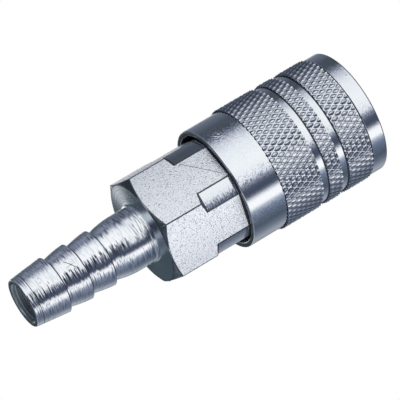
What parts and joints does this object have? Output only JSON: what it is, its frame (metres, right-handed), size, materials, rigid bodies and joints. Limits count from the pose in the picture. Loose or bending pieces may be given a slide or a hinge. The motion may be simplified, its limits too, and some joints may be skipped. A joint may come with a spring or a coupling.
{
  "type": "quick coupling",
  "caption": "Quick coupling socket for an air hose: knurled locking sleeve, hexagon with turned-down front corners and hose barb.",
  "frame": {"origin": "centre of the locking sleeve's front face, on which the part stands", "axes": "+Z along the axis from the plug's mouth to the hose barb's tip, +X through one of the hexagon's corners"},
  "size_m": [0.0256, 0.0256, 0.0738],
  "materials": {
    "sleeve": "bright nickel plate, knurled",
    "front_body": "bright nickel plate, turned",
    "barb_adaptor": "satin nickel plate, fine turning lines",
    "locking_balls": "ground and polished",
    "springs": "drawn wire",
    "retaining_ring": "hardened, dark",
    "seals": "smooth black",
    "gasket": "pressed fibre sheet",
    "valve": "turned, bare"
  },
  "bodies": {
    "socket": {"front_body": "front_body", "barb_adaptor": "barb_adaptor", "retaining_ring": "retaining_ring", "plug_seal": "seals", "valve_spring": "springs", "body_gasket": "gasket"},
    "sleeve_carrier": {"sleeve_spring": "springs"},
    "sleeve": {"sleeve": "sleeve"},
    "valve": {"valve": "valve", "valve_seal": "seals"},
    "locking_ball_1": {"locking_ball_1": "locking_balls"},
    "locking_ball_2": {"locking_ball_2": "locking_balls"},
    "locking_ball_3": {"locking_ball_3": "locking_balls"},
    "locking_ball_4": {"locking_ball_4": "locking_balls"},
    "locking_ball_5": {"locking_ball_5": "locking_balls"},
    "locking_ball_6": {"locking_ball_6": "locking_balls"}
  },
  "joints": [
    {"name": "sleeve_turn", "type": "hinge", "parent": "socket", "child": "sleeve_carrier", "pos_m": [0, 0, 0], "axis": [0, 0, 1], "continuous": true},
    {"name": "sleeve_slide", "type": "slide", "parent": "sleeve_carrier", "child": "sleeve", "axis": [0, 0, 1], "range_m": [0, 0.007], "stiffness_N_per_m": 2000, "springref_m": -0.008, "deforming": ["sleeve_spring"]},
    {"name": "valve_slide", "type": "slide", "parent": "socket", "child": "valve", "axis": [0, 0, 1], "range_m": [0, 0.004], "stiffness_N_per_m": 600, "springref_m": -0.004, "deforming": ["valve_spring"]},
    {"name": "ball_1_slide", "type": "slide", "parent": "socket", "child": "locking_ball_1", "axis": [1, 0, 0], "range_m": [0, 0.00108]},
    {"name": "ball_2_slide", "type": "slide", "parent": "socket", "child": "locking_ball_2", "axis": [0.5, 0.866, 0], "range_m": [0, 0.00108]},
    {"name": "ball_3_slide", "type": "slide", "parent": "socket", "child": "locking_ball_3", "axis": [-0.5, 0.866, 0], "range_m": [0, 0.00108]},
    {"name": "ball_4_slide", "type": "slide", "parent": "socket", "child": "locking_ball_4", "axis": [-1, 0, 0], "range_m": [0, 0.00108]},
    {"name": "ball_5_slide", "type": "slide", "parent": "socket", "child": "locking_ball_5", "axis": [-0.5, -0.866, 0], "range_m": [0, 0.00108]},
    {"name": "ball_6_slide", "type": "slide", "parent": "socket", "child": "locking_ball_6", "axis": [0.5, -0.866, 0], "range_m": [0, 0.00108]}
  ],
  "couplings": [
    {"joint": "ball_1_slide", "follows": "sleeve_slide", "ratio": 0.154},
    {"joint": "ball_2_slide", "follows": "sleeve_slide", "ratio": 0.154},
    {"joint": "ball_3_slide", "follows": "sleeve_slide", "ratio": 0.154},
    {"joint": "ball_4_slide", "follows": "sleeve_slide", "ratio": 0.154},
    {"joint": "ball_5_slide", "follows": "sleeve_slide", "ratio": 0.154},
    {"joint": "ball_6_slide", "follows": "sleeve_slide", "ratio": 0.154}
  ]
}
